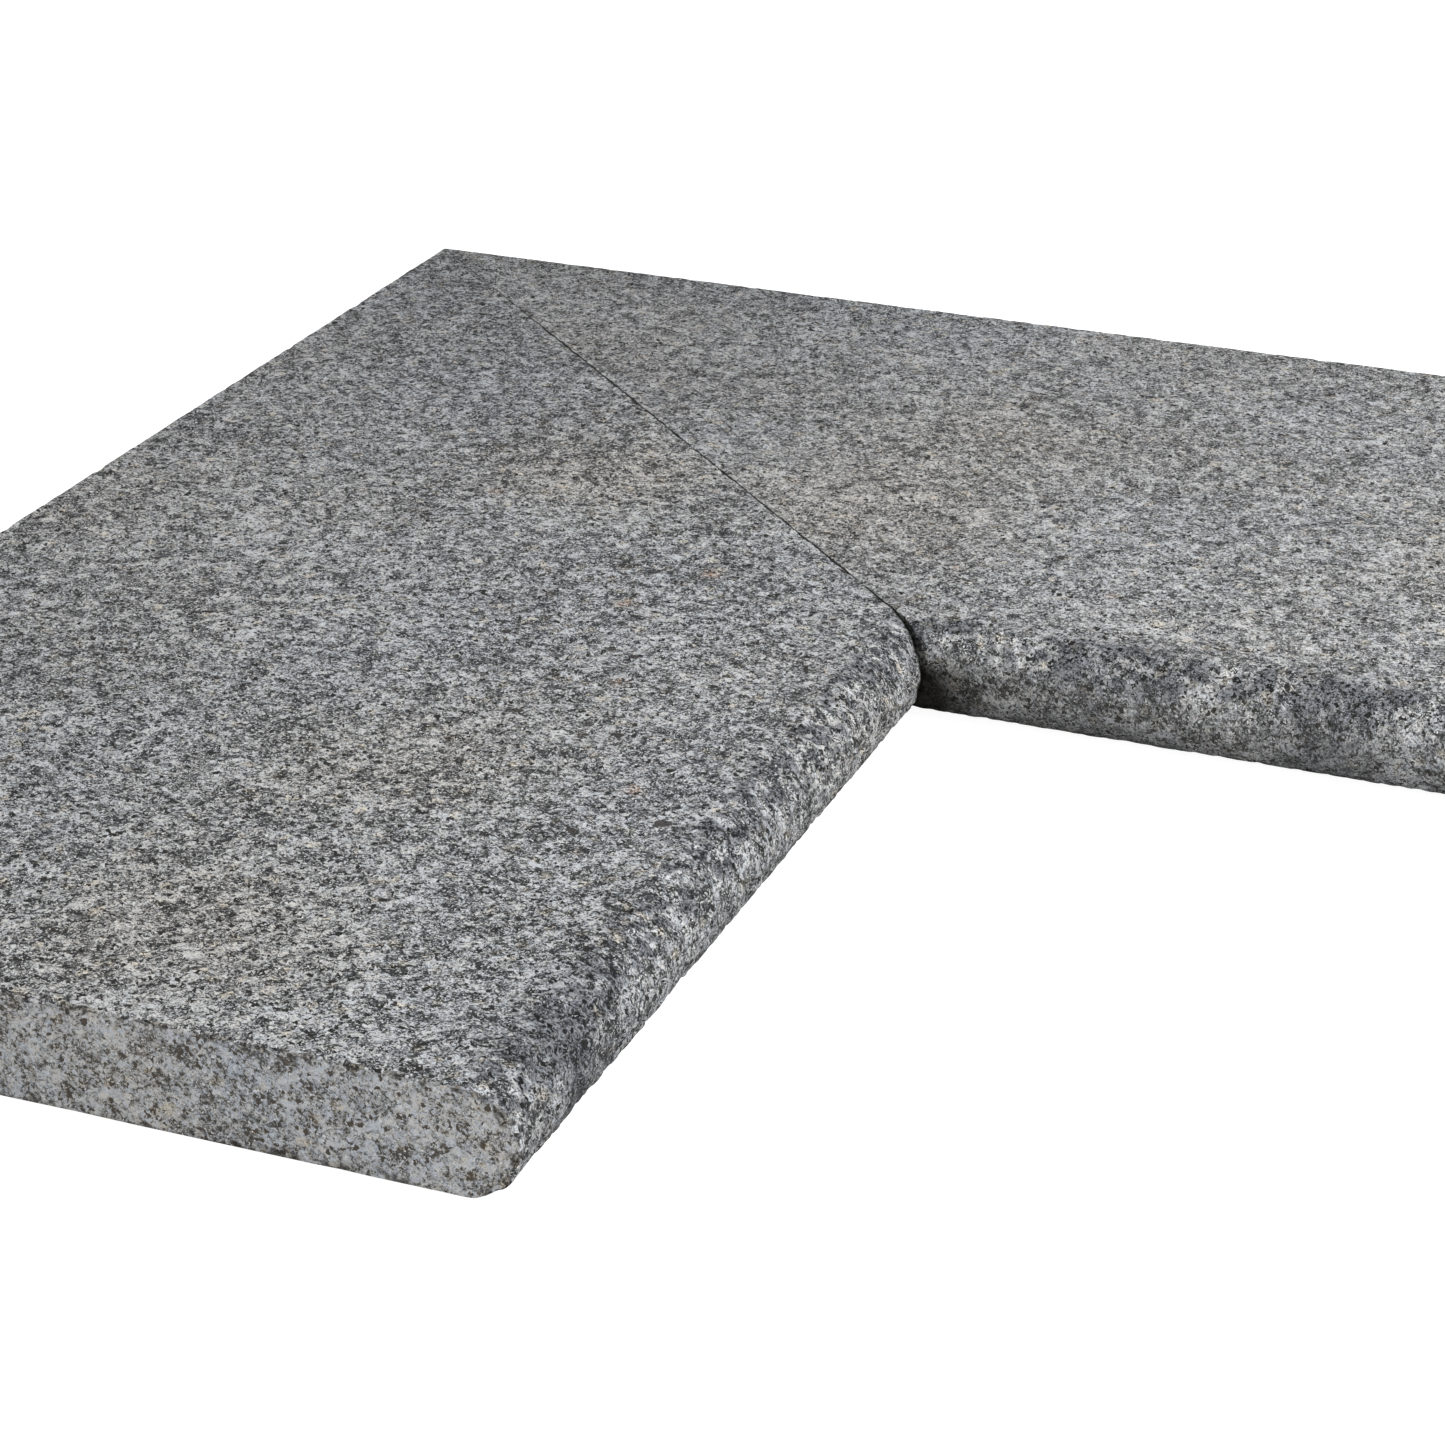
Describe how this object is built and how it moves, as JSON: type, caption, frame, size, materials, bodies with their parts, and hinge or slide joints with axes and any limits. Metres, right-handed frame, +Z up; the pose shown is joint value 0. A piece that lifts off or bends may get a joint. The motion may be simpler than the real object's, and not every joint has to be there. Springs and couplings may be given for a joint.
{
  "type": "granite slab",
  "caption": "Right-angle corner of granite coping slabs with flamed tops and full bullnose inner edges, laid dry against a hairline mitre.",
  "frame": {"origin": "on the bed plane, where the nose lines of the two slabs cross; with slabs twice as long as they are deep this is the centre of the bounding box's base", "axes": "+Z up from the bed, +X along the right slab towards its sawn end, +Y along the left slab towards the mitred back corner"},
  "size_m": [0.6, 0.6, 0.03],
  "materials": {
    "granite": "flamed top and nose, sawn back, ends, mitre and bed"
  },
  "bodies": {
    "left_slab": {"left_slab": "granite"},
    "right_slab": {"right_slab": "granite"}
  },
  "joints": [
    {"name": "mitre_opening", "type": "slide", "parent": "left_slab", "child": "right_slab", "axis": [1, 0, 0], "range_m": [0, 0.32]}
  ]
}
